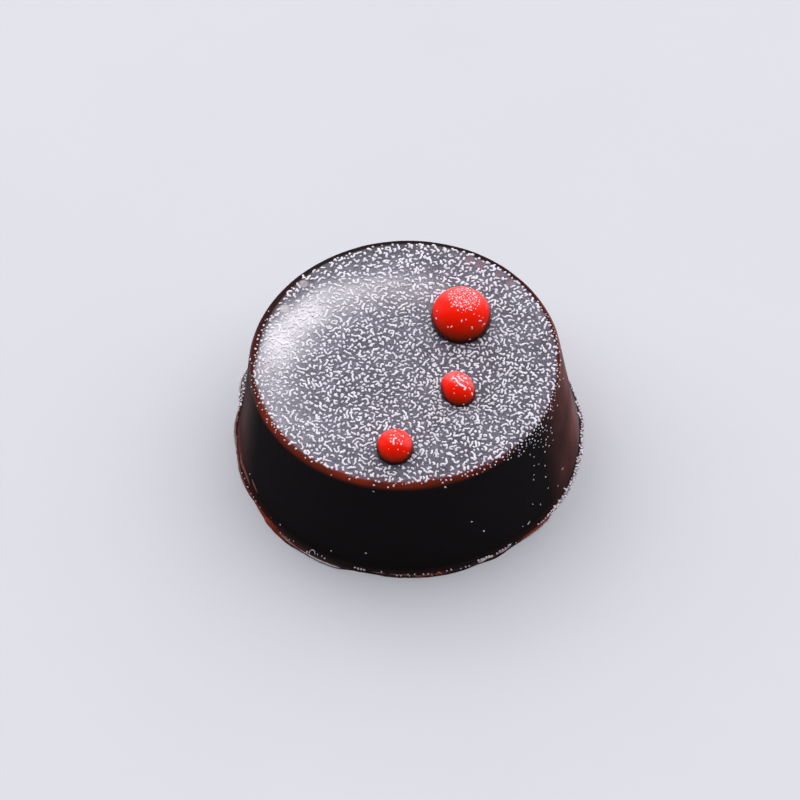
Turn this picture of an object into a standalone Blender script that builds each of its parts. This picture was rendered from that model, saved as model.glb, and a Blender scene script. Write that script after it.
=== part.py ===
"""Chocolate praline: a moulded dark chocolate frustum with a rounded rim, the thin
uneven lip of chocolate that the mould leaves round its foot, and three glossy red
drops set on its flat top.

Metres, +Z up. The origin is the middle of the flat underside.
"""

import math

import bpy

MM = 0.001
SEAM_MERGE = 0.000001

# The moulded body, in millimetres and degrees.
HEIGHT = 11.0
TOP_RADIUS = 13.6
RIM_ROUND = 0.75
DRAFT = 8.0
FOOT_ROUND = 0.25
BODY_STEPS = 144

# The lip: chocolate pressed out under the mould's edge and scraped flat below.
LIP_THICKNESS = 0.35
LIP_EDGE_ROUND = 0.22
LIP_REACH = 0.30
# Where the lip runs wider or narrower: azimuth, and reach past the foot of the wall.
LIP_REACHES = (
    (-180.0, 0.16),
    (-172.0, 0.14),
    (-166.0, 0.24),
    (-158.0, 0.22),
    (-154.0, 0.12),
    (-149.0, 0.22),
    (-145.0, 0.42),
    (-135.0, 0.57),
    (-128.0, 0.46),
    (-115.0, 0.43),
    (-110.0, 0.15),
    (-104.0, 0.15),
    (-97.0, 0.24),
    (-83.0, 0.33),
    (-74.0, 0.30),
    (-69.0, 0.22),
    (-62.0, 0.31),
    (-57.0, 0.12),
    (-50.0, 0.16),
    (-42.0, 0.22),
    (-36.0, 0.22),
    (-30.0, 0.33),
    (-12.0, 0.35),
    (-6.0, 0.30),
    (1.0, 0.37),
    (12.0, 0.22),
    (35.0, 0.20),
    (55.0, 0.40),
    (75.0, 0.34),
    (95.0, 0.20),
    (122.0, 0.36),
    (140.0, 0.50),
    (152.0, 1.15),
    (158.0, 0.95),
    (163.0, 0.50),
    (167.0, 0.28),
    (174.0, 0.28),
)

# The drops: name, place on the top, radius along and across, height, turn.
DROPS = (
    ("drop_large", (5.07, 3.77), (2.62, 2.62), 3.05, 0.0),
    ("drop_middle", (4.39, -3.98), (1.72, 1.42), 1.75, -60.0),
    ("drop_front", (-1.22, -9.73), (1.58, 1.58), 1.80, 0.0),
)
DROP_SEAT_GAP = 0.15
DROP_STEPS = 40

CHOCOLATE = ("dark_chocolate", (0.030, 0.010, 0.007, 1.0), 0.22)
RED_GLAZE = ("red_glaze", (0.620, 0.012, 0.004, 1.0), 0.10)


def arc(centre, radius, start, end, pieces):
    """Points on an arc in the profile plane, from one angle to another in degrees."""
    points = []
    for i in range(pieces + 1):
        angle = math.radians(start + (end - start) * i / pieces)
        across = centre[0] + radius * math.cos(angle)
        up = centre[1] + radius * math.sin(angle)
        points.append((across, up))
    return points


def foot_round_centre():
    """Centre of the hollow round that joins the wall to the top of the lip."""
    draft = math.radians(DRAFT)
    wall_top = HEIGHT - RIM_ROUND + RIM_ROUND * math.sin(draft)
    up = LIP_THICKNESS + FOOT_ROUND
    touch = up - FOOT_ROUND * math.sin(draft)
    wall_foot = TOP_RADIUS + (wall_top - touch) * math.tan(draft)
    return wall_foot + FOOT_ROUND * math.cos(draft), up


def body_profile():
    """The body's half section, from the middle of the top down to the underside."""
    rim_centre = (TOP_RADIUS - RIM_ROUND * math.cos(math.radians(DRAFT)), HEIGHT - RIM_ROUND)
    foot_centre = foot_round_centre()
    lip_radius = foot_centre[0] + LIP_REACH
    edge_centre = (lip_radius - LIP_EDGE_ROUND, LIP_THICKNESS - LIP_EDGE_ROUND)
    profile = [(0.0, HEIGHT)]
    profile += arc(rim_centre, RIM_ROUND, 90.0, DRAFT, 7)
    profile += arc(foot_centre, FOOT_ROUND, 180.0 + DRAFT, 270.0, 4)
    profile += arc(edge_centre, LIP_EDGE_ROUND, 90.0, 0.0, 4)
    profile += [(lip_radius, 0.0), (0.0, 0.0)]
    return profile


def drop_profile(radius, height):
    """A ball's half section, cut flat a little under its middle."""
    centre = height - radius
    foot_angle = -math.degrees(math.asin(centre / radius))
    profile = arc((0.0, centre), radius, 90.0, foot_angle, 11)
    profile[0] = (0.0, height)
    profile.append((0.0, 0.0))
    return profile


def turned_object(name, profile, steps, collection, parent):
    """An object whose profile is turned round +Z by a Screw modifier."""
    mesh = bpy.data.meshes.new(name)
    points = [(across * MM, 0.0, up * MM) for across, up in profile]
    edges = [(i, i + 1) for i in range(len(points) - 1)]
    mesh.from_pydata(points, edges, [])
    piece = bpy.data.objects.new(name, mesh)
    collection.objects.link(piece)
    piece.parent = parent
    screw = piece.modifiers.new("turn", "SCREW")
    screw.axis = "Z"
    screw.angle = math.tau
    screw.steps = steps
    screw.render_steps = steps
    screw.use_merge_vertices = True
    screw.merge_threshold = SEAM_MERGE
    screw.use_smooth_shade = True
    return piece


def apply_modifiers(piece):
    """Turns the modifiers' result into the object's own mesh."""
    evaluated = piece.evaluated_get(bpy.context.evaluated_depsgraph_get())
    mesh = bpy.data.meshes.new_from_object(evaluated)
    piece.modifiers.clear()
    piece.data = mesh


def lip_reach(azimuth):
    """How far the lip stands out at an azimuth in degrees, eased from row to row."""
    azimuth = (azimuth + 180.0) % 360.0 - 180.0
    rows = LIP_REACHES + ((180.0, LIP_REACHES[0][1]),)
    for (before, low), (after, high) in zip(rows, rows[1:], strict=False):
        if azimuth <= after:
            share = (azimuth - before) / (after - before)
            return low + (high - low) * share * share * (3.0 - 2.0 * share)
    return LIP_REACHES[0][1]


def shape_lip(mesh):
    """Moves the lip's outer rings in and out, and leaves the wall round."""
    root = foot_round_centre()[0] * MM
    for vertex in mesh.vertices:
        radius = math.hypot(vertex.co.x, vertex.co.y)
        if radius <= root + SEAM_MERGE:
            continue
        azimuth = math.degrees(math.atan2(vertex.co.y, vertex.co.x))
        shaped = root + (radius - root) * lip_reach(azimuth) / LIP_REACH
        vertex.co.x *= shaped / radius
        vertex.co.y *= shaped / radius


def finish(name, color, roughness):
    """A plain Principled material in the given linear colour."""
    material = bpy.data.materials.new(name)
    material.use_nodes = True
    shader = material.node_tree.nodes["Principled BSDF"]
    shader.inputs["Base Color"].default_value = color
    shader.inputs["Roughness"].default_value = roughness
    shader.inputs["Metallic"].default_value = 0.0
    material.diffuse_color = color
    return material


def build_body(collection, parent, material):
    """The moulded chocolate body with its lip."""
    body = turned_object("praline_body", body_profile(), BODY_STEPS, collection, parent)
    apply_modifiers(body)
    shape_lip(body.data)
    body.data.shade_smooth()
    body.data.set_sharp_from_angle(angle=math.radians(40.0))
    body.data.materials.append(material)


def build_drops(collection, parent, material):
    """The three red drops, each a little above the top that it rests on."""
    for name, (across, along), (long_radius, short_radius), height, turn in DROPS:
        mean_radius = (long_radius + short_radius) / 2.0
        profile = drop_profile(mean_radius, height)
        drop = turned_object(name, profile, DROP_STEPS, collection, parent)
        drop.location = (across * MM, along * MM, (HEIGHT + DROP_SEAT_GAP) * MM)
        drop.rotation_euler = (0.0, 0.0, math.radians(turn))
        drop.scale = (long_radius / mean_radius, short_radius / mean_radius, 1.0)
        drop.data.materials.append(material)


def clear_scene():
    """Removes every object that the scene starts with."""
    for thing in list(bpy.data.objects):
        bpy.data.objects.remove(thing, do_unlink=True)


def main():
    clear_scene()
    collection = bpy.data.collections.new("chocolate_praline")
    bpy.context.scene.collection.children.link(collection)
    praline = bpy.data.objects.new("praline", None)
    collection.objects.link(praline)
    build_body(collection, praline, finish(*CHOCOLATE))
    build_drops(collection, praline, finish(*RED_GLAZE))
    bpy.context.view_layer.update()


main()
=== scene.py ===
"""Chocolate praline: moulded dark chocolate dusted with white powder, with three red drops.

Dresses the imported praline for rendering. The shell, the curls of chocolate on its lip, the
three drops and every grain of powder are meshes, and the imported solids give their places.
"""

import bisect
import math
import random
from collections import namedtuple

import bmesh
import bpy
from bpy.props import (
    FloatProperty,
    FloatVectorProperty,
    IntProperty,
    PointerProperty,
)
from mathutils import Matrix, Quaternion, Vector, noise
from mathutils.bvhtree import BVHTree


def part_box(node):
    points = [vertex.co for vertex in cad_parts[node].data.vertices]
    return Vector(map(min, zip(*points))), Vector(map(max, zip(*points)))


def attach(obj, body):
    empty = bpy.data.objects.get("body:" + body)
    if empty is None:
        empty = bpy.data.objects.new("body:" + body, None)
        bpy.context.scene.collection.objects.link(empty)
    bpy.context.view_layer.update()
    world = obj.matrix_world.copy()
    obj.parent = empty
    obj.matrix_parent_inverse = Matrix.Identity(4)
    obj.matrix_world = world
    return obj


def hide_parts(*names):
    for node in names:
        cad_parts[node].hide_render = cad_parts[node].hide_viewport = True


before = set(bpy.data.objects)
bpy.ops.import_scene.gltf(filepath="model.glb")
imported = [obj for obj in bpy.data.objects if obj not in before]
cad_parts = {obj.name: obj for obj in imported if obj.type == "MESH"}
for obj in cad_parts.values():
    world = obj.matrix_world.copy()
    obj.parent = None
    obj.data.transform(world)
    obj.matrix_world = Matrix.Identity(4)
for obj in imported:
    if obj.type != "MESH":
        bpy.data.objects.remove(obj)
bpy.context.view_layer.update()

bl_info = {
    "name": "Chocolate Praline",
    "version": (1, 0, 0),
    "blender": (4, 5, 0),
    "location": "3D View > Sidebar > Praline",
    "description": "Builds a powdered chocolate praline with three red drops",
    "category": "Add Mesh",
}

MM = 0.001
TINY = 0.000001
BODY_NODE = "praline_body"
DROP_NODES = ("drop_large", "drop_middle", "drop_front")

# Where the powdered disc ends: azimuth in degrees, and reach in millimetres from the middle
# of the top, over the rim and down the wall.
POWDER_EDGE = (
    (0, 13.18), (20, 13.04), (48, 12.88), (84, 12.80), (120, 12.80), (135, 12.80),
    (150, 12.72), (158, 12.60), (165, 12.56), (172, 12.62), (177, 12.85), (182, 13.12),
    (192, 13.02), (204, 12.90), (228, 13.12), (268, 13.12), (276, 12.96), (288, 13.18),
    (305, 13.33), (325, 13.55), (340, 13.32), (350, 13.25),
)
# Places on the top that the grains missed: across, along and size in millimetres, how far
# the chocolate glows through the film there, and how strongly the pale colour lies, partly
# finest powder and partly painted highlight.
BARE_PATCHES = (
    (6.15, 10.55, 0.50, 0.60, 0.10), (7.05, 10.00, 0.50, 0.60, 0.10),
    (8.70, 8.85, 0.46, 0.50, 0.10), (9.65, 7.80, 0.46, 0.50, 0.08),
    (-8.58, 8.85, 0.46, 0.38, 0.52), (-10.30, 6.15, 0.48, 0.25, 0.78),
    (-8.60, -0.30, 0.35, 0.00, 0.00), (-4.20, -1.30, 0.35, 0.00, 0.00),
    (11.60, 1.10, 0.45, 0.15, 0.00), (12.00, 4.20, 0.40, 0.20, 0.05),
)
# How red the lip looks: azimuth in degrees, and share from 0 to 1. The thin chocolate's red,
# with painted light where light from behind shines through the thin lip.
LIP_WARMTH = (
    (0, 0.35), (20, 0.30), (60, 0.45), (100, 0.35), (150, 0.50), (168, 0.55), (188, 0.60),
    (198, 0.55), (206, 0.75), (212, 1.00), (222, 1.00), (227, 0.75), (233, 0.40), (238, 0.15),
    (250, 0.05), (258, 0.05), (262, 0.18), (273, 0.25), (277, 0.90), (281, 0.10), (288, 0.05),
    (291, 0.20), (302, 0.20), (305, 0.05), (307, 0.80), (314, 1.00), (318, 0.80), (322, 0.50),
    (350, 0.40),
)
# How red the rim looks, in the same way: the chocolate's red with painted light where the
# rounded rim catches the light.
RIM_PAINTED_LIGHT = (
    (0, 0.26), (15, 0.20), (30, 0.08), (60, 0.04), (120, 0.04), (150, 0.12), (165, 0.26),
    (180, 0.35), (195, 0.50), (208, 0.80), (220, 1.00), (255, 1.00), (285, 0.95), (298, 0.70),
    (308, 0.25), (316, 0.05), (325, 0.12), (335, 0.26), (350, 0.26),
)
# The painted sheen of reflected light on the wall's sides: azimuth in degrees, share of red,
# and share of pale colour.
PAINTED_WALL_SHEEN = (
    (0, 0.55, 0.150), (15, 0.55, 0.160), (40, 0.35, 0.080), (75, 0.00, 0.000),
    (140, 0.00, 0.000), (150, 0.02, 0.012), (158, 0.06, 0.036), (165, 0.10, 0.060),
    (180, 0.14, 0.078), (187, 0.17, 0.066), (192, 0.07, 0.040), (196, 0.04, 0.018), (202, 0.00, 0.000), (324, 0.00, 0.000),
    (330, 0.09, 0.010), (335, 0.19, 0.022), (340, 0.23, 0.026), (347, 0.32, 0.048),
    (352, 0.42, 0.080),
)
# The crescent of painted highlight near the top's upper-left rim, drawn in a pale powder
# colour: azimuth in degrees, its crest's distance from the middle of the top in millimetres,
# and how strongly it lies.
HIGHLIGHT_CRESCENT = (
    (60, 8.0, 0.15), (75, 8.0, 0.30), (90, 8.2, 0.42), (106, 8.5, 0.58), (122, 9.1, 0.74),
    (130, 9.7, 0.84), (138, 10.0, 1.05), (146, 10.2, 1.30), (154, 10.7, 1.30),
    (162, 11.1, 1.40), (170, 11.4, 1.35), (178, 11.6, 0.85), (186, 11.9, 0.50),
    (202, 12.1, 0.32), (215, 12.2, 0.22), (240, 12.2, 0.00), (300, 12.2, 0.00),
    (359, 8.0, 0.00),
)
# Single grains on the wall: azimuth in degrees, height in millimetres, and size against the
# clumps' own.
WALL_GRAINS = (
    (-39.7, 9, 0.75), (-40.5, 8, 0.75), (-41.2, 7, 0.75), (-42, 6, 0.75), (-42.6, 5.5, 0.75),
    (-38.8, 6.6, 0.75), (-35.7, 5.6, 0.75), (-36.5, 4.3, 0.75), (-36.2, 2.7, 0.75),
    (-44.9, 2.8, 0.75), (-41.3, 1.9, 0.75), (-25.4, 2.3, 0.75), (-26.2, 2.4, 0.75),
    (-30.6, 1.4, 0.75), (-47.6, 1.05, 1.25), (-48.3, 1, 1.25), (-50.6, 1.2, 0.75),
    (-140.5, 0.5, 0.75), (-161.6, 1.5, 0.75), (-69.6, 5.1, 0.75), (-65.7, 3.4, 0.75),
    (-118.9, 1.2, 0.75), (-106.5, 2.2, 0.75), (-32.5, 8.2, 0.75), (-31, 8.2, 0.75),
    (-28.1, 7.9, 0.75), (-28.3, 7, 0.75), (-31.4, 7.1, 0.75), (-34.9, 7.9, 0.75),
    (-37, 9.2, 0.75), (-30.9, 9, 0.75), (-28.1, 8.6, 0.75), (-37.6, 10, 0.75),
    (-41.2, 10.1, 0.75), (-34.3, 7.1, 0.75), (-28.6, 8.3, 0.75), (-33.2, 7.7, 0.75),
    (-32, 9.4, 0.75),
)
# Single grains on the lip: azimuth in degrees, share of the lip's width, and size.
LIP_GRAINS = (
    (-166.2, 0.9, 0.75), (-163.5, 0.1, 0.75), (-157.2, 0.8, 0.75), (-155.4, 0.8, 0.75),
    (-153.6, 0.7, 0.75), (-126.9, 0.7, 0.75), (-123.4, 0.2, 0.75), (-121.8, 0.1, 0.75),
    (-120.6, 0.3, 0.75), (-110, 0.5, 1), (-108.9, 0.7, 1), (-107.9, 0.8, 1), (-106.9, 0.9, 1),
    (-101.2, 0.2, 0.75), (-96.1, 0.9, 0.75), (-94.8, 0.9, 0.75), (-92.5, 0.6, 0.75),
    (-92, 0.9, 0.75), (-90.4, 0.6, 0.75), (-87.6, 0.8, 0.75), (-86, 0.7, 0.75),
    (-84.9, 0.8, 0.75), (-79.9, 0.6, 0.75), (-78.4, 0.6, 0.75), (-75.4, 0.8, 0.75),
    (-73.7, 0.7, 0.75), (-72.4, 0.9, 0.75), (-69, 0.3, 1.1), (-68, 0.4, 1.1),
    (-67.4, 0.8, 1.1), (-66.2, 0.2, 1.1), (-65.6, 0.6, 1.1), (-65.2, 0.3, 1.1),
    (-64.2, 0.6, 1.1), (-62.4, 0.5, 0.95), (-61.2, 0.2, 0.95), (-60.2, 0.4, 0.95), (-59, 0.5, 0.95),
    (-57.6, 0.2, 0.95), (-57, 0.4, 0.95),
)
# Clumps on the drops: the drop, half the clump's width in millimetres, and its path as
# shares of the drop's radius across and along.
DROP_CLUMPS = (
    ("drop_middle", 0.090, ((-0.34, 0.02), (-0.23, 0.05), (-0.12, 0.01), (-0.04, -0.17),
                            (0.04, -0.32), (0.14, -0.39), (0.23, -0.44), (0.34, -0.46),
                            (0.41, -0.49), (0.34, -0.60))),
    ("drop_middle", 0.115, ((0.04, 0.16), (0.11, 0.02), (0.21, -0.12), (0.30, -0.18))),
    ("drop_middle", 0.090, ((0.36, 0.06), (0.51, 0.10))),
    ("drop_middle", 0.080, ((0.24, 0.20), (0.32, 0.24))),
    ("drop_middle", 0.080, ((0.50, -0.16), (0.56, -0.26))),
    ("drop_middle", 0.060, ((0.60, -0.44), (0.66, -0.50))),
    ("drop_middle", 0.080, ((0.70, -0.60), (0.71, -0.65))),
    ("drop_middle", 0.060, ((0.35, -0.81),)),
    ("drop_middle", 0.045, ((-0.23, -0.74),)),
    ("drop_middle", 0.045, ((-0.25, -0.55),)),
    ("drop_front", 0.100, ((0.10, -0.13), (-0.03, -0.17), (-0.08, -0.31), (-0.05, -0.45))),
    ("drop_front", 0.050, ((0.07, 0.14),)),
    ("drop_front", 0.045, ((0.35, 0.04),)),
    ("drop_front", 0.060, ((0.15, -0.68),)),
    ("drop_front", 0.050, ((0.68, -0.66),)),
    ("drop_front", 0.035, ((0.47, -0.70),)),
    ("drop_front", 0.030, ((-0.35, -0.61),)),
    ("drop_large", 0.080, ((-0.01, -0.71), (-0.01, -0.75))),
    ("drop_large", 0.060, ((0.14, -0.70),)),
    ("drop_large", 0.055, ((-0.37, -0.80), (-0.33, -0.79))),
    ("drop_large", 0.060, ((0.32, -0.82), (0.33, -0.86))),
    ("drop_large", 0.060, ((0.57, -0.52),)),
    ("drop_large", 0.065, ((0.70, -0.50),)),
    ("drop_large", 0.075, ((0.56, -0.64), (0.64, -0.60))),
    ("drop_large", 0.085, ((0.70, -0.64), (0.76, -0.58))),
    ("drop_large", 0.045, ((0.66, -0.69),)),
)
# Where powder and a painted highlight film each drop: how far the film leans aside, up to
# where, where it ends, and how thickly it lies.
DROP_FILM_AND_HIGHLIGHT = {
    "drop_large": (0.50, 0.0, 0.28, 0.12), "drop_middle": (0.45, 1.0, 0.30, 0.19),
    "drop_front": (0.45, 1.0, 0.28, 0.11),
}
# Threads and flakes of chocolate standing on the lip. Each is a path of azimuth in degrees,
# radius and height in millimetres, with half its thickness in millimetres, and its shares
# of red, partly painted light through thin chocolate, and of pale colour, partly powder and
# partly painted highlight.
CURLS = (
    (((168, 15.42, 0.40), (172, 15.46, 0.36), (176, 15.46, 0.34), (180, 15.36, 0.34),
      (184, 15.30, 0.40)), 0.100, 0.65, 0.22),
    (((187, 14.98, 0.75), (190, 15.08, 0.62), (194, 15.04, 0.66), (197, 15.02, 0.66),
      (200, 15.08, 0.55)), 0.110, 0.75, 0.08),
    (((184, 15.26, 0.36), (189, 15.33, 0.30), (194, 15.40, 0.28), (200, 15.40, 0.26)),
     0.100, 0.75, 0.10),
    (((200.7, 14.88, 1.50), (203.1, 14.90, 1.35), (205.5, 14.95, 1.10)), 0.085, 1.00, 0.10),
    (((207.4, 15.36, 0.26), (210.4, 15.35, 0.28), (213.3, 15.38, 0.26)), 0.125, 1.20, 0.00),
    (((213.6, 15.42, 0.24), (215.5, 15.46, 0.34), (217.5, 15.46, 0.36), (219.9, 15.44, 0.26)),
     0.215, 1.25, 0.01),
    (((215.0, 15.12, 0.50), (215.7, 15.10, 0.52)), 0.080, 1.00, 0.02),
    (((221.1, 15.47, 0.28), (225.4, 15.60, 0.28), (230.3, 15.66, 0.27)), 0.110, 0.75, 0.20),
    (((230.6, 15.68, 0.26), (235.0, 15.69, 0.28), (238.0, 15.70, 0.28), (242.0, 15.68, 0.27),
      (245.6, 15.66, 0.26)), 0.055, 0.45, 0.75),
    (((234.5, 15.66, 0.28), (233.9, 15.50, 0.34), (234.2, 15.24, 0.48), (235.3, 15.22, 0.50),
      (236.1, 15.46, 0.36)), 0.045, 0.40, 0.65),
    (((255.8, 15.28, 0.30), (258.2, 15.30, 0.30), (260.0, 15.29, 0.30)), 0.060, 0.60, 0.12),
    (((261.4, 15.30, 0.30), (263.8, 15.34, 0.30), (266.4, 15.34, 0.30), (268.7, 15.40, 0.28)),
     0.045, 0.90, 0.14),
    (((268.8, 15.42, 0.28), (271.4, 15.50, 0.26), (274.0, 15.47, 0.28), (276.5, 15.44, 0.28)),
     0.045, 0.90, 0.10),
    (((276.4, 15.50, 0.24), (277.4, 15.46, 0.46), (278.4, 15.50, 0.26)), 0.125, 1.20, 0.14),
    (((290.8, 15.38, 0.26), (292.4, 15.36, 0.30), (294.2, 15.30, 0.34), (295.8, 15.42, 0.28)),
     0.110, 0.60, 0.60),
    (((297.7, 15.36, 0.30), (299.7, 15.36, 0.30), (301.4, 15.32, 0.30), (303.2, 15.24, 0.32)),
     0.085, 0.70, 0.40),
    (((307.6, 15.34, 0.28), (311.4, 15.40, 0.28), (314.8, 15.46, 0.28), (318.2, 15.50, 0.28),
      (320.6, 15.48, 0.28)), 0.085, 1.30, 0.02),
    (((60, 15.50, 0.30), (66, 15.60, 0.34), (72, 15.56, 0.34), (77, 15.46, 0.28)),
     0.080, 0.75, 0.05),
    (((104, 15.40, 0.28), (110, 15.48, 0.30), (116, 15.44, 0.26)), 0.070, 0.75, 0.05),
    (((128, 15.50, 0.28), (133, 15.62, 0.38), (139, 15.66, 0.36), (144, 15.62, 0.28)),
     0.090, 0.75, 0.05),
    (((150, 16.10, 0.30), (154, 16.20, 0.36), (158, 16.02, 0.36), (162, 15.66, 0.32)),
     0.070, 0.60, 0.45),
)


# The beds of powder: each one's share of all grains, how thick its clumps are and how far
# apart they lie, against those on the top, and how many strides long they grow.
PowderBed = namedtuple("PowderBed", "name share width spacing lengths")
POWDER_BEDS = (
    PowderBed("top", 1.000, 1.00, 1.00, (0, 1, 2, 2, 3, 3, 4, 5, 6, 7, 9, 11)),
    PowderBed("rim", 0.034, 0.72, 0.90, (0, 0, 0, 1, 1)),
    PowderBed("crust", 0.160, 1.00, 0.62, (0, 0, 1, 1, 2, 3)),
    PowderBed("lip", 0.003, 0.62, 0.90, (0, 0, 0, 1)),
    PowderBed("drops", 0.030, 0.62, 0.66, (0, 0, 1, 1, 2)),
)
# Fine specks: a bed, its share of all specks, and their distance against the clumps'.
SPECKS = (("top", 0.15, 0.62), ("rim", 0.08, 0.62), ("crust", 0.10, 0.50), ("drops", 0.12, 0.38))


def cad_section():
    """The CAD body's half section on its +X side, from the top down, in metres."""
    points = set()
    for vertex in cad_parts[BODY_NODE].data.vertices:
        if abs(vertex.co.y) < TINY and vertex.co.x > TINY:
            points.add((round(vertex.co.x, 7), round(vertex.co.z, 7)))
    return sorted(points, key=lambda point: (-point[1], point[0]))


def cad_lip():
    """The CAD lip's outline: azimuths in degrees from -180 to 180, and their radii."""
    reach = {}
    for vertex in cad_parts[BODY_NODE].data.vertices:
        radius = math.hypot(vertex.co.x, vertex.co.y)
        if vertex.co.z < TINY and radius > SECTION[0][0]:
            reach[round(math.degrees(math.atan2(vertex.co.y, vertex.co.x)), 3)] = radius
    azimuths = sorted(reach)
    return azimuths, [reach[azimuth] for azimuth in azimuths]


SECTION = cad_section()
FLAT_RADIUS = SECTION[0][0]
WALL_TOP, WALL_FOOT = max(
    zip(SECTION, SECTION[1:], strict=False), key=lambda pair: pair[0][1] - pair[1][1]
)
LIP_ROOT = next(
    pair[0]
    for pair in zip(SECTION, SECTION[1:], strict=False)
    if pair[0][1] < WALL_FOOT[1] and abs(pair[0][1] - pair[1][1]) < TINY
)
LIP_AZIMUTHS, LIP_RADII = cad_lip()
DRAFT = math.atan2(WALL_FOOT[0] - WALL_TOP[0], WALL_TOP[1] - WALL_FOOT[1])
RIM_ROUND = (WALL_TOP[0] - FLAT_RADIUS) / math.cos(DRAFT)
FOOT_ROUND = (LIP_ROOT[0] - WALL_FOOT[0]) / math.cos(DRAFT)
RIM_SWEEP = math.pi / 2.0 - DRAFT


class PralineBodySettings(bpy.types.PropertyGroup):
    height: FloatProperty(
        name="Height", description="From the underside to the top", default=SECTION[0][1],
        min=0.0, unit="LENGTH", precision=5,
    )
    lip_thickness: FloatProperty(
        name="Lip Thickness", description="Thickness of the lip where it leaves the wall",
        default=LIP_ROOT[1], min=0.0, unit="LENGTH", precision=5,
    )
    crown: FloatProperty(
        name="Crown", description="How far the top falls towards its rim",
        default=0.18 * MM, min=0.0, unit="LENGTH", precision=5,
    )
    wall_waviness: FloatProperty(
        name="Wall Waviness", description="How far the moulded wall strays from a true cone",
        default=0.025 * MM, min=0.0, unit="LENGTH", precision=5,
    )
    lip_waviness: FloatProperty(
        name="Lip Waviness", description="How far the lip's edge strays in and out",
        default=0.06 * MM, min=0.0, unit="LENGTH", precision=5,
    )
    columns: IntProperty(
        name="Columns", description="Columns of faces round the body", default=540, min=36
    )
    chocolate: FloatVectorProperty(
        name="Chocolate", description="Colour of the moulded wall", subtype="COLOR", size=4,
        default=(0.0100, 0.0088, 0.0092, 1.0), min=0.0, max=1.0,
    )
    # Red of the thin chocolate, also used for painted light on the rim and lip and painted sheen on
    # the wall's sides.
    thin_and_lit_chocolate: FloatVectorProperty(
        name="Thin Chocolate", description="Colour where the chocolate is thin at the rim and lip",
        subtype="COLOR", size=4, default=(0.185, 0.0220, 0.0075, 1.0), min=0.0, max=1.0,
    )
    film: FloatVectorProperty(
        name="Powder Film", description="Colour of the finest powder, too fine to see as grains",
        subtype="COLOR", size=4, default=(0.156, 0.151, 0.201, 1.0), min=0.0, max=1.0,
    )
    # The pale colour: painted highlight on the top, painted sheen on the wall's sides, the powder
    # crust on the lip, and on the drops a film of powder with painted highlight.
    dust_and_highlight: FloatVectorProperty(
        name="Powder Veil", description="Colour where the finest powder lies thickest",
        subtype="COLOR", size=4, default=(0.680, 0.672, 0.690, 1.0), min=0.0, max=1.0,
    )


class PralineDropSettings(bpy.types.PropertyGroup):
    middle_length: FloatProperty(
        name="Middle Drop Length", description="Longest radius of the middle drop",
        default=1.72 * MM, min=0.0, unit="LENGTH", precision=5,
    )
    middle_width: FloatProperty(
        name="Middle Drop Width", description="Shortest radius of the middle drop",
        default=1.42 * MM, min=0.0, unit="LENGTH", precision=5,
    )
    middle_turn: FloatProperty(
        name="Middle Drop Turn", description="Direction of the middle drop's longest radius",
        default=math.radians(-60.0), subtype="ANGLE",
    )
    unevenness: FloatProperty(
        name="Unevenness", description="How far a drop strays from a true ball",
        default=0.02 * MM, min=0.0, unit="LENGTH", precision=5,
    )
    glaze: FloatVectorProperty(
        name="Glaze", description="Colour of the drops", subtype="COLOR", size=4,
        default=(0.87, 0.0100, 0.0010, 1.0), min=0.0, max=1.0,
    )
    # Painted shade low down on the drops and towards their front, where the glaze over the
    # chocolate is also darker.
    deep_shaded_glaze: FloatVectorProperty(
        name="Deep Glaze", description="Colour of the drops low down, over the chocolate",
        subtype="COLOR", size=4, default=(0.100, 0.0180, 0.0010, 1.0), min=0.0, max=1.0,
    )
    # Painted contact shadow: a dark ring at the front of each drop's foot.
    foot: FloatVectorProperty(
        name="Glaze Foot", description="Colour of the drops' thin dark foot",
        subtype="COLOR", size=4, default=(0.022, 0.0030, 0.0050, 1.0), min=0.0, max=1.0,
    )


class PralinePowderSettings(bpy.types.PropertyGroup):
    seed: IntProperty(name="Seed", description="Start of the random draws", default=7)
    grains: IntProperty(
        name="Grains", description="Grains and clumps of powder on the top at most",
        default=3600, min=1,
    )
    specks: IntProperty(
        name="Specks", description="Fine specks of powder at most", default=900, min=1
    )
    thickness: FloatProperty(
        name="Grain Thickness", description="Half the width of a grain",
        default=0.097 * MM, min=0.0, unit="LENGTH", precision=6,
    )
    spacing: FloatProperty(
        name="Grain Spacing", description="Nearest that the middles of two grains come",
        default=0.250 * MM, min=0.0, unit="LENGTH", precision=6,
    )
    stride: FloatProperty(
        name="Stride", description="Distance between the points of a clump",
        default=0.110 * MM, min=0.0, unit="LENGTH", precision=6,
    )
    turning: FloatProperty(
        name="Turning", description="How sharply a clump turns from one point to the next",
        default=0.9, min=0.0, subtype="ANGLE",
    )
    lumpiness: FloatProperty(
        name="Lumpiness", description="How far a clump's thickness varies along it",
        default=0.28, min=0.0, max=1.0,
    )
    crowding: FloatProperty(
        name="Crowding", description="How near a clump grows to others, against the spacing",
        default=0.74, min=0.0, max=1.0,
    )
    branching: FloatProperty(
        name="Branching", description="How often a clump has a side arm",
        default=0.55, min=0.0, max=1.0,
    )
    stretch: FloatProperty(
        name="Stretch", description="How much further the clumps run and lie apart along Y",
        default=0.32, min=0.0, max=1.0,
    )
    speck_size: FloatProperty(
        name="Speck Size", description="Half the width of a fine speck",
        default=0.060 * MM, min=0.0, unit="LENGTH", precision=6,
    )
    colour: FloatVectorProperty(
        name="Powder", description="Colour of the powder", subtype="COLOR", size=4,
        default=(0.720, 0.712, 0.762, 1.0), min=0.0, max=1.0,
    )
    # Painted red light bounced from the glaze onto the powder on the drops.
    red_bounce: FloatVectorProperty(
        name="Blushed Powder", description="Colour of the powder that the red glaze has tinted",
        subtype="COLOR", size=4, default=(1.000, 0.720, 0.765, 1.0), min=0.0, max=1.0,
    )


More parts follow.
